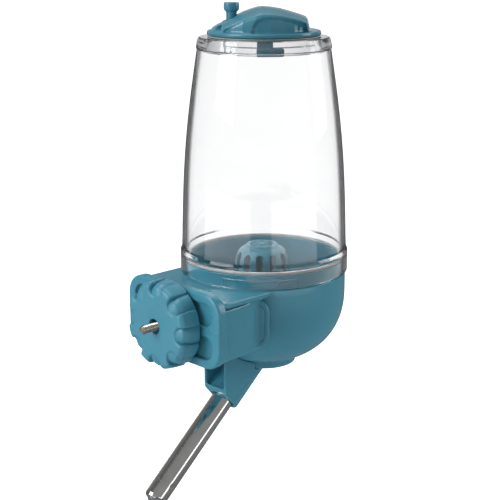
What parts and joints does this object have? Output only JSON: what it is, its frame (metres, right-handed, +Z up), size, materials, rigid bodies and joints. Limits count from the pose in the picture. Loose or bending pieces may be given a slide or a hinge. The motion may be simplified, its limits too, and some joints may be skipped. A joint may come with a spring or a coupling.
{
  "type": "rabbit water bottle",
  "caption": "Cage-mounted top-fill water bottle with a clear tank, bayonet lid with vent plunger, strainer bowl, knob clamp and slanted ball-tip drinking tube.",
  "frame": {"origin": "centre of the clamp plate's cage-side face, on the clamp screw's axis", "axes": "-Y points at the cage wall and along the clamp screw, +X sideways, +Z up along the bottle"},
  "size_m": [0.0982, 0.1431, 0.2784],
  "materials": {
    "clear_plastic": "clear, polished",
    "teal_plastic": "semi-gloss moulded",
    "silicone": "matt translucent silicone",
    "stainless": "polished stainless steel",
    "spring_steel": "bright drawn wire",
    "plated_steel": "zinc-plated steel"
  },
  "bodies": {
    "base": {"base_bowl": "teal_plastic", "strainer_dome": "teal_plastic", "mount_bracket": "teal_plastic", "spout_housing": "teal_plastic", "tube_seal": "silicone", "drink_tube": "stainless", "clamp_bolt": "plated_steel", "bolt_head_washer": "plated_steel", "tank_gasket": "silicone"},
    "tank": {"tank_shell": "clear_plastic", "filler_ring": "clear_plastic"},
    "lid": {"lid_cap": "teal_plastic", "lid_plug": "teal_plastic", "lid_gasket": "silicone", "vent_spring": "spring_steel"},
    "vent": {"vent_stem": "teal_plastic", "vent_seal": "silicone", "vent_clip": "spring_steel"},
    "clamp_carrier": {"clamp_washer": "plated_steel"},
    "knob": {"clamp_knob": "teal_plastic", "knob_nut": "plated_steel"},
    "ball": {"tube_ball": "stainless"}
  },
  "joints": [
    {"name": "tank_turn", "type": "hinge", "parent": "base", "child": "tank", "pos_m": [0, 0.072, 0.02], "axis": [0, 0, 1], "range_deg": [0, 35]},
    {"name": "lid_turn", "type": "hinge", "parent": "tank", "child": "lid", "pos_m": [0, 0.072, 0.15], "axis": [0, 0, 1], "range_deg": [0, 60]},
    {"name": "vent_press", "type": "slide", "parent": "lid", "child": "vent", "axis": [0, 0, -1], "range_m": [0, 0.002], "stiffness_N_per_m": 250, "springref_m": -0.003, "deforming": ["vent_spring"]},
    {"name": "clamp_slide", "type": "slide", "parent": "base", "child": "clamp_carrier", "axis": [0, -1, 0], "range_m": [0, 0.0081]},
    {"name": "knob_turn", "type": "hinge", "parent": "clamp_carrier", "child": "knob", "pos_m": [0, -0.007, 0], "axis": [0, -1, 0], "range_deg": [0, 3600]},
    {"name": "ball_lift", "type": "slide", "parent": "base", "child": "ball", "axis": [0, 0.7611, 0.6486], "range_m": [0, 0.0025]}
  ],
  "couplings": [
    {"joint": "clamp_slide", "follows": "knob_turn", "m_per_rad": 0.00012732}
  ]
}
